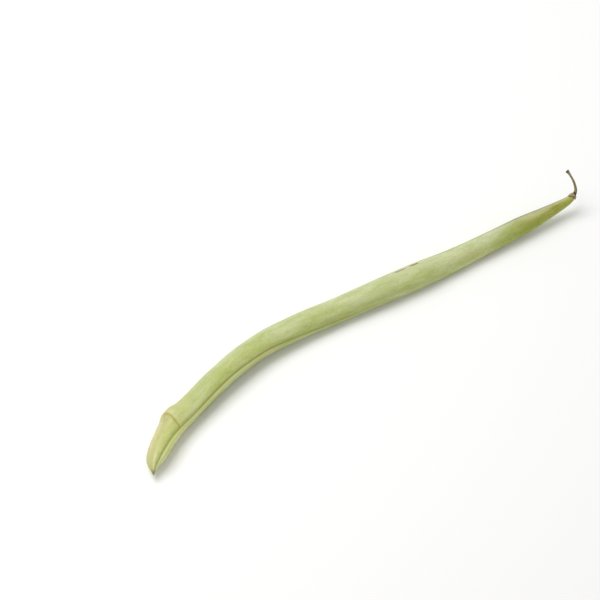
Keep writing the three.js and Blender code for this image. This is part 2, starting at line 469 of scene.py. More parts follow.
def around_line(bench, read, radius, angle):
    """The place at a radius and an angle round the line's point."""
    near_way, up_way = read("near", "FLOAT_VECTOR"), read("upwards", "FLOAT_VECTOR")
    outwards = bench.vector("ADD", bench.scaled(near_way, radius * angle.math("COSINE")),
                            bench.scaled(up_way, radius * angle.math("SINE")))
    return bench.vector("ADD", read(), outwards)


print("points nearer than this are merged, m:", MERGE_DISTANCE)

# %% [markdown]
# Each tree ends in the same steps: store what the shader will read, move the points, close the
# sheet, turn its faces outwards, shade it smooth and give it its material. The result is then
# turned into a plain mesh, so that nothing has to be worked out again later, and a report says
# whether the body is closed.

# %% Closing a sheet and making its mesh
def close_sheet(bench, given, body, position, kept):
    """Keeps values on the sheet's points, moves them to their places and ends the tree."""
    for label, (kind, value) in kept.items():
        body = bench.node("GeometryNodeStoreNamedAttribute", {"data_type": kind, "domain": "POINT"},
                          {"Geometry": body, "Name": label, "Value": value})
    steps = {
        "GeometryNodeSetPosition": {"Position": position},
        "GeometryNodeMergeByDistance": {"Distance": MERGE_DISTANCE},
        "GeometryNodeFlipFaces": {},
        "GeometryNodeSetShadeSmooth": {},
        "GeometryNodeRealizeInstances": {},
        "GeometryNodeSetMaterial": {"Material": given["Material"]},
    }
    for kind, sockets in steps.items():
        body = bench.node(kind, None, {0: body, **sockets})
    bench.node("NodeGroupOutput", None, {"Geometry": body})
    bench.say(bench.tree.name + " tree")


def make(piece, bench, ids, values):
    """Runs a tree on a line object and turns the result into a plain mesh."""
    modifier = piece.modifiers.new("make", "NODES")
    modifier.node_group = bench.tree
    for label, value in values.items():
        modifier[ids[label]] = value
    ready = piece.evaluated_get(bpy.context.evaluated_depsgraph_get())
    mesh = bpy.data.meshes.new_from_object(ready)
    piece.modifiers.remove(modifier)
    piece.data = mesh
    report(piece)


def report(piece):
    """Prints a piece's size, and whether it is closed with its faces outwards."""
    work = bmesh.new()
    work.from_mesh(piece.data)
    open_edges = sum(1 for edge in work.edges if len(edge.link_faces) != 2)
    triangles = sum(len(face.verts) - 2 for face in work.faces)
    volume = work.calc_volume(signed=True) / MM ** 3
    corners = np.array([v.co for v in work.verts]) / MM
    work.free()
    print(f"{piece.name}: {triangles} triangles, {open_edges} open edges, {volume:.1f} mm3,",
          "box", np.round(corners.min(0), 2), np.round(corners.max(0), 2))


# %% [markdown]
# ## The pod's shape
#
# Cut across, a bean pod is a slightly flattened oval. Where its two shells meet there is a rib:
# a broad one with a groove on each side at the front seam, and a slim one at the back. The oval
# swells a little over each seed.
#
# Sculpting or a displacement texture could give the same forms. Here they are heights worked out
# from the angle round the section, because a rule keeps them true to size, and one number makes
# a rib higher or a groove wider.

# %% The pod's node tree
COLUMN_CROWDING = 0.3  # how much closer the columns are at the two seams
SMALLEST_HALF_DEPTH = 1e-9  # keeps the closed ends from dividing by nothing

# widths are half widths in degrees round the section
POD_SIZES = {
    "Thickness Share": 0.9,  # flank to flank, as a share of the depth
    "Front Rib Height": 0.3 * MM,
    "Front Rib Half Width": 9.5,
    "Back Rib Height": 0.16 * MM,
    "Back Rib Half Width": 6.0,
    "Groove Depth": 0.14 * MM,
    "Groove Half Width": 4.5,
    "Seam Full Depth": 7 * MM,  # pod depth at which the seams reach their full height
    "Seed Swell": 0.12 * MM,
    "Shoulder Height": 1.2 * MM,
    "Crease Depth": 0.12 * MM,
    "Lump Height": 0.09 * MM,
    "Ridge Height": 0.03 * MM,
}
pod_bench, pod_in, pod_ids = geometry_bench("pod", POD_SIZES)

grid, turned, read = rolled_sheet(pod_bench, pod_in)
even_angle = turned * TURN
angle = even_angle - (even_angle * 2).math("SINE") * COLUMN_CROWDING
cosine, sine = angle.math("COSINE"), angle.math("SINE")
from_front = cosine.math("ARCCOSINE") * math.degrees(1)

row_depth = read("depth")
row_arc = read("arc")
half_depth = (row_depth * 0.5).math("MAXIMUM", SMALLEST_HALF_DEPTH)
swell = read("seed_wave") * pod_in["Seed Swell"]
half_thickness = half_depth * pod_in["Thickness Share"] + swell
oval = 1 / ((cosine / half_depth) ** 2 + (sine / half_thickness) ** 2).math("SQRT")
print("pod tree's inputs:", ", ".join(pod_ids))

# %% [markdown]
# The straightened pod is kept as an attribute called `skin`: how far along the pod a point is,
# and where it lies across, in mm. Patterns laid on it follow the bends of the real pod.

# %% Straightened coordinates and the two seams
HALF_IN_MM = 0.5 / MM  # turns a depth in metres into half of it in mm
LOWER_GROOVE = 0.3  # share of the front groove's depth on the flank that faces down
BACK_GROOVE = 0.6  # share of it at the back seam

skin = pod_bench.joined(row_arc, row_depth * HALF_IN_MM * cosine, row_depth * HALF_IN_MM * sine)


def seam_relief(rib, degrees, share_here):
    """A rounded rib with a groove beside it. The tree's inputs for it start with its name."""
    half_width = pod_in[rib + " Half Width"]
    crest = ((degrees / half_width) ** 4 * -1).math("EXPONENT") * pod_in[rib + " Height"]
    groove_middle = half_width + pod_in["Groove Half Width"]
    spread = pod_in["Groove Half Width"] * read("groove_spread")
    groove = pod_bench.hump(degrees, groove_middle, spread)
    return crest - groove * pod_in["Groove Depth"] * share_here


upper_side = pod_bench.smooth(sine, -0.05, 0.05)
share_here = read("groove_share")
front_relief = seam_relief("Front Rib", from_front,
                           share_here * (LOWER_GROOVE + upper_side * (1 - LOWER_GROOVE)))
back_relief = seam_relief("Back Rib", 180 - from_front, share_here * BACK_GROOVE)
seam_share = pod_bench.smooth(row_depth, 0.0, pod_in["Seam Full Depth"])
pod_bench.say("pod tree so far")

# %% [markdown]
# This pod was bent once, just before its beak. The bend pushed up a shoulder on its back and left
# a fine crease across the upper flank. Both are heights too, added to the section's radius. The
# crease's distance is a function of its own, because the paint of the skin needs it again.

# %% Shoulder and crease
SHOULDER_ANGLE, SHOULDER_HALF_ANGLE = 118.0, 42.0  # degrees from the front seam
CREASE_START = 179.6  # mm along the pod, at the front seam
CREASE_SLANT = 0.0235  # mm for each degree from the front seam
CREASE_TURN = 78.0  # degrees from the front seam at which it begins to bend back
CREASE_BEND = 0.0009  # mm for each square degree past its turn
CREASE_HALF_WIDTH = 0.5  # mm


def crease_distance(going_along, degrees):
    """How far past the crease a place is, in mm along the pod."""
    beyond = (degrees - CREASE_TURN).math("MAXIMUM", 0.0)
    return going_along + degrees * CREASE_SLANT - beyond * beyond * CREASE_BEND - CREASE_START


bulge = pod_bench.hump(from_front, SHOULDER_ANGLE, SHOULDER_HALF_ANGLE) * upper_side
bulge = bulge * read("shoulder") * pod_in["Shoulder Height"]
past_crease = crease_distance(row_arc, from_front)
on_crease = (pod_bench.smooth(from_front, 14, 26) * pod_bench.smooth(from_front, 125, 105)
             * upper_side)
dent = pod_bench.hump(past_crease, 0.0, CREASE_HALF_WIDTH) * on_crease
lip = (pod_bench.smooth(past_crease, 0.0, 0.6) * pod_bench.smooth(past_crease, 4.5, 0.8)
       * on_crease)
bent = bulge + (lip - dent) * pod_in["Crease Depth"]
print("crease starts at, mm along:", CREASE_START, "shoulder at, degrees:", SHOULDER_ANGLE)

# %% [markdown]
# Real skin is never quite even. Slow lumps and faint lengthwise ridges come from two noises that
# read `skin`, so they follow the bends and are the same each time. Last, every point is set off
# from the line, and where it would sink below the surface that the bean lies on it stays on it.
# That leaves the small flat spots on which a soft pod rests.

# %% Lumps, ridges and the resting place
LUMP_SCALE = (0.075, 0.2, 0.2)  # along and across the pod, for each mm
RIDGE_SCALE = (0.03, 1.1, 1.1)
RESTING_LIMIT = (-1.0, -1.0, 0.0)  # nothing lower than 0, and no limit to the sides

lumps = pod_bench.noise(pod_bench.vector("MULTIPLY", skin, LUMP_SCALE)) - 0.5
ridges = pod_bench.noise(pod_bench.vector("MULTIPLY", skin, RIDGE_SCALE), 3.0) - 0.5
uneven = lumps * 2 * pod_in["Lump Height"] + ridges * 2 * pod_in["Ridge Height"]
radius = oval + (front_relief + back_relief + uneven) * seam_share + bent

tilted = angle + read("roll")
spot = around_line(pod_bench, read, radius, tilted)
spot = pod_bench.vector("MAXIMUM", spot, RESTING_LIMIT)

close_sheet(pod_bench, pod_in, grid, spot,
            {"skin": ("FLOAT_VECTOR", skin), "seam": ("FLOAT", from_front)})

# %% [markdown]
# ## The pod's skin
#
# The skin of a ripening snap bean is pale yellow-green on its body and olive on its neck. The
# half by the front seam is yellower, and the half by the back seam is paler and a little pink.
# Fine streaks run lengthwise, clouds and pores break up the colour, and a thin waxy bloom makes
# it look milky. Beside the front rib runs a dark olive line of painted shade in its groove, and
# rubbing has left russet marks.
#
# A painted image could hold all this, but it would be blurred from near by and would have to be
# unwrapped. Here everything is worked out from the `skin` attribute, so it is sharp at any size
# and bends with the pod.

# %% Where we are on the skin
def material_bench(name):
    """A new material with an empty node tree, and the bench for it."""
    material = bpy.data.materials.new(name)
    material.use_nodes = True
    material.node_tree.nodes.clear()
    return material, Bench(material.node_tree)


skin_material, sk = material_bench("bean_skin")
skin_place = sk.attribute("skin", 1)
arc = sk.part(skin_place, 0)
seam = sk.attribute("seam", 2)
upper_flank = sk.smooth(sk.part(skin_place, 2), -0.35, 0.35)  # 1 where the flank faces up


def tinted(colour_so_far, mask, *colour):
    """The colour so far, with a screen colour laid over it where the mask is."""
    return sk.mix(mask, colour_so_far, paint(*colour))


def dimmed(colour_so_far, mask, *shares):
    """The colour so far, with its red, green and blue cut to these shares where the mask is."""
    return sk.mix(mask, colour_so_far, (*shares, 1.0), "MULTIPLY")


def stretched(along_mm, across_mm, shift=0.0):
    """Skin coordinates for a pattern whose grains are so long and so wide."""
    scaled = sk.vector("MULTIPLY", skin_place, (1 / along_mm, 1 / across_mm, 1 / across_mm))
    return sk.vector("ADD", scaled, (shift, shift, shift))


sk.say("skin so far")

# %% [markdown]
# ### Ground colours
#
# The largest change is from the olive neck to the straw-coloured beak. A colour ramp along the
# pod makes it, since each of its stops can be tuned alone. Then the half by the back seam is made
# paler and the half by the front seam yellower, most of all at the neck; the yellower front half
# is partly the skin's own tone and partly painted reflected light. Last, the flank that faces down
# is painted paler on the neck and the beak, as painted light that lifts its shade.

# %% Colour from neck to beak
RAMP_LENGTH = 200  # mm
# place along the pod in mm, screen colour
ALONG_COLOURS = [
    (0, (170, 172, 66)),
    (7, (157, 162, 48)),
    (24, (156, 167, 60)),
    (33, (174, 184, 100)),
    (43, (196, 204, 137)),
    (75, (188, 196, 127)),
    (120, (184, 192, 128)),
    (158, (178, 187, 116)),
    (180, (204, 205, 138)),
    (200, (190, 188, 116)),
]
stops = [(a / RAMP_LENGTH, paint(*c)) for a, c in ALONG_COLOURS]
base = sk.node("ShaderNodeValToRGB", {"stops": stops}, {"Fac": arc / RAMP_LENGTH})
neck = sk.smooth(arc, 40, 22)  # 1 on the neck
beak = sk.smooth(arc, 166, 186)  # 1 on the beak
print("colours along the pod:", len(stops))

# %% The paler back half, the yellower front half and painted light on the lower flank
back_half = sk.smooth(seam - neck * 38, 84, 160)
front_half = sk.smooth(seam, 104, 22)
base = tinted(base, back_half * 0.5, 192, 197, 164)
base = tinted(base, back_half * neck * 0.8, 202, 198, 174)
# the yellower front half: partly the skin's own tone, partly painted reflected light
front_colour = sk.mix(neck, paint(182, 192, 78), paint(168, 178, 32))
base = sk.mix(front_half * 0.5, base, front_colour)
# painted light: the flank that faces down is painted paler on the neck and the beak, to lift its
# shade
base = tinted(base, (1 - upper_flank) * (neck * 0.3 + beak * 0.45), 214, 216, 158)
base = tinted(base, (1 - upper_flank) * beak * 0.5, 236, 238, 152)
sk.say("skin so far")

# %% [markdown]
# ### Mottling
#
# A bean's green is never flat. Noises of falling size break it up: clouds and patches, russet on
# the neck, lengthwise streaks, fine grain and pores. Each one dims the skin where it is high and
# lightens it where it is low, so the mean colour stays what the ramp gave.

# %% Clouds, streaks and pores
off_neck = 1 - neck * 0.6  # the olive neck lightens less
clouds = sk.noise(stretched(10, 3.6), 3.0, 0.55)
base = dimmed(base, sk.smooth(clouds, 0.45, 0.68) * 0.65, 0.86, 0.9, 0.72)
base = tinted(base, sk.smooth(clouds, 0.52, 0.31) * off_neck * 0.25, 219, 221, 188)
patches = sk.noise(stretched(4.5, 2.2, 21.0), 4.0, 0.6)
base = dimmed(base, sk.smooth(patches, 0.49, 0.68) * 0.7, 0.88, 0.87, 0.84)
base = tinted(base, sk.smooth(patches, 0.46, 0.32) * off_neck * 0.12, 222, 224, 180)
russet = sk.noise(stretched(1.9, 1.3, 33.0), 3.0, 0.6)
base = tinted(base, sk.smooth(russet, 0.53, 0.68) * neck * 0.4, 146, 132, 58)
base = tinted(base, sk.smooth(russet, 0.44, 0.3) * neck * 0.25, 178, 186, 84)
streaks = sk.noise(stretched(22, 0.55, 7.0), 4.0, 0.6)
base = dimmed(base, sk.smooth(streaks, 0.5, 0.75) * 0.4, 0.88, 0.91, 0.8)
base = tinted(base, sk.smooth(streaks, 0.46, 0.26) * 0.12, 220, 223, 188)
grain = sk.noise(stretched(0.9, 0.5, 3.0), 3.0, 0.6)
base = dimmed(base, sk.smooth(grain, 0.43, 0.68) * 0.65, 0.86, 0.88, 0.8)
base = tinted(base, sk.smooth(grain, 0.46, 0.25) * off_neck * 0.23, 221, 224, 188)
pore_dots = sk.dots(stretched(0.75, 0.5), 0.22, 0.08)
base = dimmed(base, pore_dots * 0.35, 0.82, 0.84, 0.7)
sk.say("skin so far")

# %% [markdown]
# ### Seams on the skin
#
# The two shells of the pod meet at its seams. On the upper flank the groove beside the front rib
# holds a thin dark line of painted shade, strongest where the groove is deepest, which turns
# yellower and lies in a broad olive furrow of painted shade on the beak. The rib itself is a pale
# green strip with one tan rub on it. Along the back seam runs a thin pinkish grey edge, which is
# clearest on the neck. All of them are masks of the degrees from the seam.

# %% The two seams
GROOVE_PLACE = 14.0  # degrees from the front seam
fades_in = sk.smooth(arc, 70, 135)
# painted shade in the groove beside the front rib: a thin dark line, and a broad olive furrow on
# the beak
groove_shade_line = sk.hump(seam, GROOVE_PLACE, 4.5)
furrow = sk.hump(seam, GROOVE_PLACE + 2.0, 12.0) * sk.smooth(arc, 150, 178) * upper_flank
rib = sk.smooth(seam, 11.0, 7.5)
rib_edge = sk.hump(seam, 0.0, 3.0)
back_edge = sk.smooth(seam + neck * 5 + (streaks - 0.5) * 12, 166.0, 178.0)
before_beak = sk.hump(arc, 172, 8)
furrow_share = 0.65 - before_beak * 0.25 - beak * 0.12
base = tinted(base, furrow * furrow_share, 160, 168, 60)
rib_colour = sk.mix(sk.smooth(arc, 125, 150), paint(190, 196, 132), paint(214, 219, 144))
base = sk.mix(rib * (0.15 + fades_in * 0.4), base, rib_colour)
base = tinted(base, rib_edge * fades_in * sk.smooth(arc, 170, 140) * 0.1, 176, 146, 92)
tan_spot = sk.hump(arc, 133.0, 3.2) * sk.hump(seam, 8.0, 6.0) * upper_flank
base = tinted(base, tan_spot * 0.6, 214, 196, 140)
line_share = ((0.2 + upper_flank * 0.8) * (0.12 + fades_in * 0.5)
              * (1 - before_beak * 0.35 - beak * 0.25))
line_colour = sk.mix(beak, paint(132, 136, 50), paint(168, 172, 34))
base = sk.mix(groove_shade_line * line_share, base, line_colour)
base = tinted(base, back_edge * (0.3 + neck * 0.5), 152, 142, 118)
sk.say("skin so far")

# %% [markdown]
# ### Marks
#
# Over the ground colours lies the waxy bloom, and then come the marks: rubs, russet, scars and
# tinted patches, and near the beak some painted shade, painted light and a painted highlight.
# Each mark is a soft spot at a place along the pod and a number of degrees from the front seam.
# Noise breaks up the edge of the ragged ones, because scars and russet are never smooth. A table
# of marks is quick to read and to change, and one loop paints them all.

# %% Bloom and marks
MARK_GRAIN = (1.2, 0.45)  # mm along and across, in ragged edges

bloom_mask = sk.smooth(sk.noise(stretched(14, 5, 3.0), 2.0), 0.35, 0.65)
base = tinted(base, bloom_mask * (0.12 - neck * 0.06), 212, 216, 194)


def mark(arc_middle, arc_half, seam_middle, seam_half, ragged):
    """A soft spot on the upper flank, with its edge broken up by noise if it is ragged."""
    spot = sk.hump(arc, arc_middle, arc_half) * sk.hump(seam, seam_middle, seam_half) * upper_flank
    if ragged:
        broken = sk.noise(stretched(*MARK_GRAIN, arc_middle), 4.0, 0.65)
        spot = sk.smooth(spot + (broken - 0.5) * ragged, 0.3, 0.75)
    return spot


# mm along, half length, degrees from the front seam, half width, ragged, share, screen colour
MARKS = [
    (14, 9, 138, 18, 0.3, 0.3, (186, 174, 112)),  # tan tint along the neck
    (17.5, 6, 132, 26, 0.0, 0.35, (208, 208, 174)),
    (8.5, 3.6, 126, 16, 1.2, 0.5, (146, 124, 50)),  # russet patch on the neck
    (13, 3, 110, 10, 1.4, 0.35, (150, 130, 54)),
    (22, 6, 112, 14, 1.4, 0.3, (164, 144, 84)),
    (86, 30, 74, 10, 0.3, 0.3, (166, 184, 84)),  # a greener streak along the side
    (76, 22, 40, 16, 0.4, 0.25, (158, 168, 128)),  # dull skin under it
    (47.5, 6, 84, 22, 0.0, 0.3, (190, 172, 124)),  # tan rub on the side
    (39.5, 5, 20, 22, 0.0, 0.3, (184, 164, 112)),
    (73, 9, 162, 20, 0.7, 0.5, (212, 204, 172)),  # dry skin by the back seam
    (68.6, 2.2, 157, 8, 1.3, 0.85, (104, 78, 50)),  # scars in it
    (74.6, 3.4, 154, 8, 1.4, 0.75, (122, 106, 80)),
    (80.0, 4.5, 156, 4, 0.9, 0.5, (140, 126, 94)),
    (91, 5, 168, 14, 0.8, 0.4, (214, 200, 174)),
    (90, 9, 72, 16, 0.0, 0.35, (216, 218, 190)),  # a milky patch
    (104, 9, 30, 20, 0.4, 0.35, (156, 162, 92)),
    # painted shade on the upper flank before the beak, and painted light above the furrow, flatten
    # the shading there
    (166, 12, 94, 24, 0.0, 0.35, (170, 178, 116)),
    (171, 8, 34, 17, 0.0, 0.45, (218, 223, 176)),  # painted light above the furrow
    (173.5, 4, 124, 22, 0.0, 0.6, (176, 172, 84)),  # yellower skin on the shoulder
    (178.1, 1.4, 110, 14, 0.6, 0.75, (182, 156, 122)),  # tan start of the crease
    (180, 3, 96, 16, 1.2, 0.45, (166, 164, 86)),  # olive mottles past it
    (181.5, 5, 84, 22, 0.9, 0.35, (190, 178, 126)),  # pinkish skin on the beak
    (187.5, 8, 78, 14, 0.9, 0.4, (188, 180, 122)),
    (187, 8, 112, 20, 0.6, 0.4, (206, 184, 146)),
    (193.5, 3.5, 76, 18, 0.0, 0.45, (190, 174, 118)),
    (195, 4, 50, 9, 0.0, 0.6, (230, 231, 172)),  # painted highlight: a pale streak down the beak
]
for *spot, mark_share, colour in MARKS:
    base = tinted(base, mark(*spot) * mark_share, *colour)
print("marks:", len(MARKS))

# %% [markdown]
# ### Crease, point and specks
#
# The crease is painted with the function that also dented the shape, so the olive line, painted
# shade in the crease, lies at the bottom of its dent. The beak ends in a small dry point, and a few
# brown specks are strewn over the whole skin.

# %% A crease round the beak, its point and some specks
POINT_START, POINT_FULL = 197.2, 198.9  # mm along the pod

past_line = crease_distance(arc, seam)
line_ends = sk.smooth(seam, 12, 18) * sk.smooth(seam, 128, 108) * upper_flank
crease = sk.hump(past_line, 0.0, 0.42) * line_ends
base = tinted(base, sk.hump(past_line, -1.1, 0.6) * line_ends * 0.2, 220, 212, 166)
# painted shade: the olive line at the bottom of the crease's dent
base = tinted(base, crease * 0.75, 164, 157, 46)
base = tinted(base, sk.smooth(arc, POINT_START, POINT_FULL) * 0.8, 104, 100, 66)
speck_dots = sk.dots(stretched(7.5, 5.5, 11.0), 0.05, 0.028)
base = tinted(base, speck_dots * 0.5, 140, 118, 70)
sk.say("skin so far")

# %% [markdown]
# ### Relief, gloss and flesh
#
# What is too fine for the mesh becomes a bump: streaks, grain, pores and specks. The skin is
# satin, and duller where the bloom lies. A little light passes through the skin and comes out
# yellow-green, which keeps the shaded side from looking like painted wood.

# %% Relief, gloss and flesh
RELIEF_HEIGHT = 0.00008
FLESH_DEPTH = 0.0012

height = (streaks * 0.45 + grain * 0.35 + sk.noise(stretched(0.3, 0.2, 5.0), 3.0) * 0.25
          - pore_dots * 0.35 - speck_dots * 0.5 - crease * 1.2)
relief = sk.node("ShaderNodeBump", None,
                 {"Strength": 0.6, "Distance": RELIEF_HEIGHT, "Height": height})
dullness = 0.45 + bloom_mask * 0.12 + sk.smooth(clouds, 0.4, 0.7) * 0.05 - rib * 0.03
bean_surface = sk.node("ShaderNodeBsdfPrincipled", None, {
    "Base Color": base,
    "Roughness": dullness,
    "Normal": relief,
    "Subsurface Weight": 0.25,
    "Subsurface Radius": (1.0, 0.9, 0.35),
    "Subsurface Scale": FLESH_DEPTH,
    "Specular IOR Level": 0.42,
    "Sheen Weight": 0.06,
    "Sheen Roughness": 0.5,
})
sk.node("ShaderNodeOutputMaterial", None, {"Surface": bean_surface})
sk.say("skin")

# %% [markdown]
# ### Make the pod
#
# The sizes go in by the names of the tree's inputs, and 124 sides on each of some 650 rows give
# facets of about a quarter of a millimetre, too small to see.

# %% Make the pod
make(pod, pod_bench, pod_ids,
     {"Rows": len(middle), "Sides": 124, "Material": skin_material, **POD_SIZES})

# %% [markdown]
# ## The calyx
#
# The calyx is what is left of the flower's cup. It is dry, thin and brown, sits like a low cap on
# the end of the neck, and ends in a few lobes. Its section is a bent line: from the stalk down
# its outside to the rim, and up its inside to a floor over the end of the neck. A Screw modifier
# could turn that line round the axis, but the rolled sheet does it too, and its points can then
# be pulled into lobes. The line has both sides of the wall, so the cap has a real thickness.

# %% Section of the calyx
CALYX_AXIS = np.array([0.74, 0.04, 0.67]) / np.linalg.norm([0.74, 0.04, 0.67])
# height along the axis from the neck's end, radius, share of the lobes; mm
CALYX_SECTION = np.array([
    [1.22, 0.0, 0.0],
    [1.2, 0.42, 0.0],
    [1.12, 0.7, 0.0],
    [0.93, 0.98, 0.0],
    [0.66, 1.17, 0.2],
    [0.36, 1.35, 0.45],
    [0.08, 1.46, 0.7],
    [-0.12, 1.52, 0.9],
    [-0.21, 1.57, 1.0],
    [-0.24, 1.52, 1.02],
    [-0.19, 1.44, 0.99],
    [-0.06, 1.36, 0.88],
    [0.14, 1.28, 0.66],
    [0.42, 1.1, 0.38],
    [0.66, 0.6, 0.1],
    [0.7, 0.0, 0.0],
])
CALYX_ROWS = 84

calyx_place = np.linspace(0, len(CALYX_SECTION) - 1, CALYX_ROWS)
calyx_rows = curve_through(CALYX_SECTION, calyx_place)
calyx_rows[:, 1] = np.maximum(calyx_rows[:, 1], 0)
calyx_rows[[0, -1], 1] = 0
neck_end = POD_STATIONS[0, :3] + MODEL_SHIFT
calyx_points = neck_end + calyx_rows[:, :1] * CALYX_AXIS
rim_row = np.argmin(calyx_rows[:, 0])
going_down = length_along(calyx_rows[:, :2])
calyx_side = np.tile(unit(np.cross([[0.0, 0.0, 1.0]], [CALYX_AXIS])), (CALYX_ROWS, 1))
calyx = line_object("calyx_cup", calyx_points * MM, near=calyx_side,
                    upwards=np.cross(calyx_side, CALYX_AXIS), width=calyx_rows[:, 1] * MM,
                    teeth=calyx_rows[:, 2], down=going_down)
RIM_DOWN = float(going_down[rim_row])
print("calyx rows:", CALYX_ROWS, "rim at, mm down the wall:", round(RIM_DOWN, 2))

# %% [markdown]
# A lobe is a hump round the rim that pulls the wall down. One is long and broad, three are lower,
# one is nearly gone, and at one place the rim is torn short. Noise that reads a ring round the
# axis roughens their edges and wrinkles the wall. Its seed is an input of the tree.

# %% The calyx's node tree
# degrees round the axis, length in mm, half width in degrees
LOBES = [(328, 0.5, 42), (236, -0.55, 32), (184, 0.12, 24), (36, 0.3, 26), (84, 0.36, 24),
         (132, 0.3, 24)]
CALYX_SIZES = {"Lobe Scale": 1.0 * MM, "Lobe Flare": 0.12, "Wrinkle Height": 0.06 * MM, "Seed": 4.0}

calyx_bench, calyx_in, calyx_ids = geometry_bench("calyx", CALYX_SIZES)
grid, turned, read = rolled_sheet(calyx_bench, calyx_in)
angle = turned * TURN
cosine, sine = angle.math("COSINE"), angle.math("SINE")
ring = calyx_bench.joined(cosine, sine, calyx_in["Seed"])
reach = 0.0
for lobe_turn, lobe_length, lobe_half in LOBES:
    away = 1 - (angle - math.radians(lobe_turn)).math("COSINE")
    away = away / (1 - math.cos(math.radians(lobe_half)))
    reach = (away * away * -0.7).math("EXPONENT") * lobe_length + reach
teeth = read("teeth")
torn = 0.8 + calyx_bench.noise(calyx_bench.scaled(ring, 5.0), 2.0) * 0.4
pull = teeth * reach * torn * calyx_in["Lobe Scale"]
width = read("width")
down = read("down")
wrinkle_place = calyx_bench.vector("ADD", calyx_bench.scaled(ring, 3.2),
                                   calyx_bench.joined(0, 0, down * 0.5))
wrinkles = (calyx_bench.noise(wrinkle_place, 3.0) - 0.5) * 2 * calyx_in["Wrinkle Height"]
outer = calyx_bench.smooth(width, 0.1 * MM, 0.9 * MM)
width_here = width + wrinkles * outer + pull * calyx_in["Lobe Flare"]
spot = around_line(calyx_bench, read, width_here, angle)
spot = calyx_bench.vector("SUBTRACT", spot, calyx_bench.scaled(tuple(CALYX_AXIS), pull))
flat_ring = calyx_bench.joined(cosine, sine, 0.0)
close_sheet(calyx_bench, calyx_in, grid, spot,
            {"ring": ("FLOAT_VECTOR", flat_ring), "down": ("FLOAT", down)})

# %% [markdown]
# ## The dry brown of calyx and stalk
#
# Both are dry plant fibre: dull, streaked along the growth, pinkish brown on the calyx and
# green-brown on the stalk, and darkest where they were joined or torn. The calyx is also painted
# dark from its rim into its cup, as painted shade under the rim. One function makes both
# materials, because only their colours, their grain and the places of the dark parts differ.

# %% Dry fibre
FIBRE_STOPS = (0.3, 0.5, 0.72)  # places on the ramp of the dark, middle and pale colours
FIBRE_HEIGHT = 0.00012
FIBRE_FLESH_DEPTH = 0.0006


def dry_fibre(name, colours, label, round_scale, along_scale, dark_parts):
    """A dull fibrous surface, with its grain along the growth.

    The label names the attribute that says how far along a point is, in mm. Each dark part, a dark
    joint or torn end or painted shade, has the place where it starts, the place where it is full,
    and its share.
    """
    material, bench = material_bench(name)
    going_along = bench.attribute(label, 2)
    grain_place = bench.vector("ADD", bench.scaled(bench.attribute("ring", 1), round_scale),
                               bench.joined(0.0, 0.0, going_along * along_scale))
    grain = bench.noise(grain_place, 4.0, 0.6)
    stops = [(stop, paint(*colour)) for stop, colour in zip(FIBRE_STOPS, colours)]
    colour = bench.node("ShaderNodeValToRGB", {"stops": stops}, {"Fac": grain})
    darkness = 0.0
    for start, full, share in dark_parts:
        darkness = bench.smooth(going_along, start, full) * share + darkness
    colour = bench.mix(darkness.math("MINIMUM", 1.0) * 0.85, colour, paint(66, 48, 34))
    relief_here = bench.node("ShaderNodeBump", None,
                             {"Strength": 0.8, "Distance": FIBRE_HEIGHT, "Height": grain})
    surface = bench.node("ShaderNodeBsdfPrincipled", None, {
        "Base Color": colour,
        "Roughness": 0.62 + grain * 0.25,
        "Normal": relief_here,
        "Subsurface Weight": 0.08,
        "Subsurface Scale": FIBRE_FLESH_DEPTH,
        "Specular IOR Level": 0.35,
    })
    bench.node("ShaderNodeOutputMaterial", None, {"Surface": surface})
    bench.say(name)
    return material


calyx_material = dry_fibre(
    "dry_calyx", [(104, 84, 54), (160, 138, 108), (192, 170, 142)], "down", 7.0, 0.7,
    [(1.05, 0.7, 0.8), (RIM_DOWN - 0.12, RIM_DOWN + 0.1, 0.9)])  # by the stalk; from the rim into the cup, painted shade

# %% Make the calyx
make(calyx, calyx_bench, calyx_ids,
     {"Rows": CALYX_ROWS, "Sides": 120, "Material": calyx_material, **CALYX_SIZES})

# %% [markdown]
# ## The stalk
#
# The stalk is a thin hook, thicker at its foot and flared at the end where it was torn from the
# plant. It has a few soft ribs along it, and its end is a rough dark dish. A bevelled curve would
# give the hook, but not the ribs that wind round it, so it is a rolled sheet as well. The curve
# through its stations and the caps are made by the functions that made the pod's.

# %% Line of the stalk
# x, y and z from the stalk's foot, radius; mm
STALK_STATIONS = np.array([
    [0.0, 0.0, 0.0, 0.66],
    [0.37, 0.24, 0.5, 0.57],
    [0.92, 0.75, 1.0, 0.5],
    [1.35, 1.8, 1.95, 0.45],
    [1.62, 2.98, 2.95, 0.42],
    [1.665, 4.28, 3.92, 0.41],
    [1.64, 5.4, 4.65, 0.43],
    [1.62, 6.25, 5.04, 0.55],
    [1.58, 6.7, 5.19, 0.7],
    [1.54, 6.95, 5.26, 0.66],
])
STALK_ROWS = 150
FOOT_HEIGHT = 1.4  # from the neck's end along the calyx's axis

stalk_place = np.linspace(0, len(STALK_STATIONS) - 1, STALK_ROWS)
stalk_rows = curve_through(STALK_STATIONS, stalk_place)
foot = neck_end + FOOT_HEIGHT * CALYX_AXIS
stalk_middle = foot + stalk_rows[:, :3]
stalk_along = direction_along(STALK_STATIONS, stalk_place)
stalk_along[0] = CALYX_AXIS
STALK_LENGTH = length_along(stalk_middle)[-1]
print("stalk length, mm:", round(STALK_LENGTH, 2))

# %% Rows of the stalk with closed ends
FOOT_CAP = [(0.0, -0.27), (0.6, -0.26), (0.94, -0.2), (1.06, -0.1)]
DISH_CAP = [(0.93, 0.05), (0.78, 0.02), (0.6, -0.1), (0.35, -0.16), (0.0, -0.18)]
STALK_CAPS = (FOOT_CAP, DISH_CAP)  # a rounded foot, and a dish in the torn end
DISH_STEP = 0.3  # mm of arc for each row of the dish, so that its grain isn't stretched

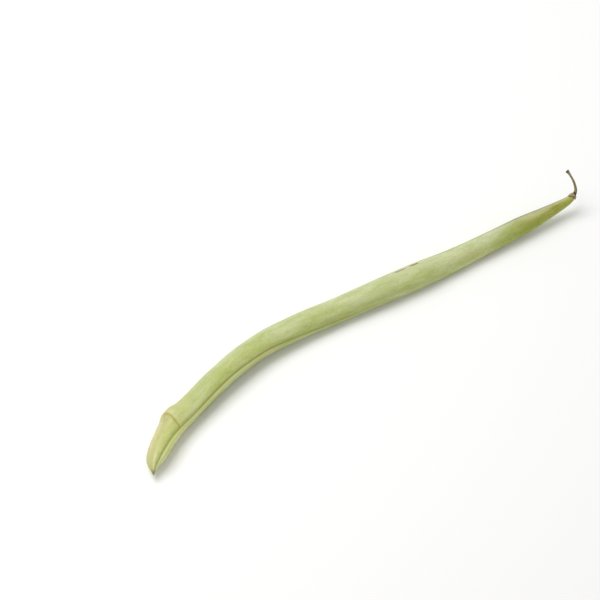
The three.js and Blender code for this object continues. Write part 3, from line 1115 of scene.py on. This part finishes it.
stalk_points = with_caps(stalk_middle, STALK_CAPS, stalk_along)
stalk_radius = (with_caps(stalk_rows[:, 3], STALK_CAPS)
                * sizes_with_caps(STALK_ROWS, STALK_CAPS))
stalk_arc = with_caps(length_along(stalk_middle), STALK_CAPS)
stalk_arc[-len(DISH_CAP):] += DISH_STEP * np.arange(1, len(DISH_CAP) + 1)
stalk_along = with_caps(stalk_along, STALK_CAPS)
stalk_near = unit(np.cross([1.0, 0.0, 0.0], stalk_along))
stalk_up = np.cross(stalk_along, stalk_near)
stalk = line_object("stalk_hook", stalk_points * MM, near=stalk_near, upwards=stalk_up,
                    width=stalk_radius * MM, arc=stalk_arc)
print("stalk rows with caps:", len(stalk_points))

# %% [markdown]
# The ribs are one cosine wave round the stalk that winds slowly as it goes up. Noise roughens
# it, and roughens the torn end twice as much.

# %% The stalk's node tree
STALK_SIZES = {"Rib Count": 6.0, "Rib Height": 0.035 * MM, "Roughness Height": 0.03 * MM}
RIB_WINDING = 0.08  # radians for each mm
TORN_LENGTH = 0.9  # mm

stalk_bench, stalk_in, stalk_ids = geometry_bench("stalk", STALK_SIZES)
grid, turned, read = rolled_sheet(stalk_bench, stalk_in)
angle = turned * TURN
stalk_arc_here = read("arc")
width = read("width")
cosine, sine = angle.math("COSINE"), angle.math("SINE")
ring = stalk_bench.joined(cosine, sine, stalk_arc_here * 0.35)
ribs = ((angle + stalk_arc_here * RIB_WINDING) * stalk_in["Rib Count"]).math("COSINE")
rough = (stalk_bench.noise(stalk_bench.scaled(ring, 2.2), 4.0) - 0.5) * 2
torn = stalk_bench.smooth(stalk_arc_here, STALK_LENGTH - TORN_LENGTH, STALK_LENGTH)
uneven = ribs * stalk_in["Rib Height"] + rough * stalk_in["Roughness Height"] * (1 + torn)
width_here = width + uneven * stalk_bench.smooth(width, 0.05 * MM, 0.4 * MM)
spot = around_line(stalk_bench, read, width_here, angle)
flat_ring = stalk_bench.joined(cosine, sine, 0.0)
close_sheet(stalk_bench, stalk_in, grid, spot,
            {"ring": ("FLOAT_VECTOR", flat_ring), "arc": ("FLOAT", stalk_arc_here)})

# %% [markdown]
# The stalk's fibre is dark at its foot, where it grows out of the calyx, and at its torn end.
# Fewer streaks go round it than round the calyx, and they are longer.

# %% Make the stalk
stalk_material = dry_fibre(
    "dry_stalk", [(92, 84, 46), (128, 120, 76), (164, 156, 112)], "arc", 4.0, 0.3,
    [(0.75, 0.3, 1.0), (STALK_LENGTH - 1.1, STALK_LENGTH - 0.1, 1.0)])
make(stalk, stalk_bench, stalk_ids,
     {"Rows": len(stalk_points), "Sides": 64, "Material": stalk_material, **STALK_SIZES})

# %% [markdown]
# ## Tie the pieces to the model
#
# Each fine piece stands for the plain one of the same name, which is hidden, and rides on the
# model's only body.

# %% Ride and replace
for piece, name in ((pod, "pod"), (calyx, "calyx"), (stalk, "stalk")):
    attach(piece, "root")
    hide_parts(name)
    low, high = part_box(name)
    print(name, "plain box, mm:", [round(1000 * v, 2) for v in (*low, *high)])

# %% [markdown]
# ## Floor and light
#
# Food is often shown on white with very soft light, so that nothing distracts from its skin. The
# floor is a plain pale sheet, a hair below the bean, so that the two never lie in one plane.

# %% Floor
FLOOR_HALF_SIDE = 3
FLOOR_DROP = 0.02 * MM

corners = [(x * FLOOR_HALF_SIDE, y * FLOOR_HALF_SIDE, 0)
           for x, y in ((-1, -1), (1, -1), (1, 1), (-1, 1))]
floor_data = bpy.data.meshes.new("floor")
floor_data.from_pydata(corners, [], [(0, 1, 2, 3)])
floor_material = bpy.data.materials.new("pale_floor")
floor_material.use_nodes = True
floor_surface = floor_material.node_tree.nodes["Principled BSDF"]
floor_surface.inputs["Base Color"].default_value = (0.92, 0.92, 0.91, 1)
floor_surface.inputs["Roughness"].default_value = 0.9
floor_data.materials.append(floor_material)
floor = put("floor", floor_data, (0, 0, -FLOOR_DROP))
print("floor side, m:", 2 * FLOOR_HALF_SIDE)

# %% [markdown]
# One large square lamp above and behind the bean gives it its form, with a soft edge to every
# shade. The white surroundings fill the rest. Small lamps would show the relief more strongly,
# but they would put hard glints on a skin that has none.

# %% Lamp and surroundings
LAMP_PLACE = Vector((-0.147, 0.324, 0.717))
LAMP_SIDE = 0.55
LAMP_POWER = 4.7  # watts
ROOM_BRIGHTNESS = 0.55

lamp_data = bpy.data.lights.new("lamp_above", "AREA")
lamp_data.size = LAMP_SIDE
lamp_data.energy = LAMP_POWER
put("lamp_above", lamp_data, LAMP_PLACE, LAMP_PLACE)  # it shines at the origin

world = bpy.data.worlds.new("pale_room")
world.use_nodes = True
background = world.node_tree.nodes["Background"]
background.inputs["Color"].default_value = (1, 1, 1, 1)
background.inputs["Strength"].default_value = ROOM_BRIGHTNESS
bpy.context.scene.world = world
bpy.context.scene.view_settings.view_transform = "Standard"
print("lamp, m from the bean:", round(LAMP_PLACE.length, 2), "side, m:", LAMP_SIDE)

# %% [markdown]
# ## The size of the dressed bean
#
# The dressed bean must fill the same box as the plain one, so both boxes are printed above.
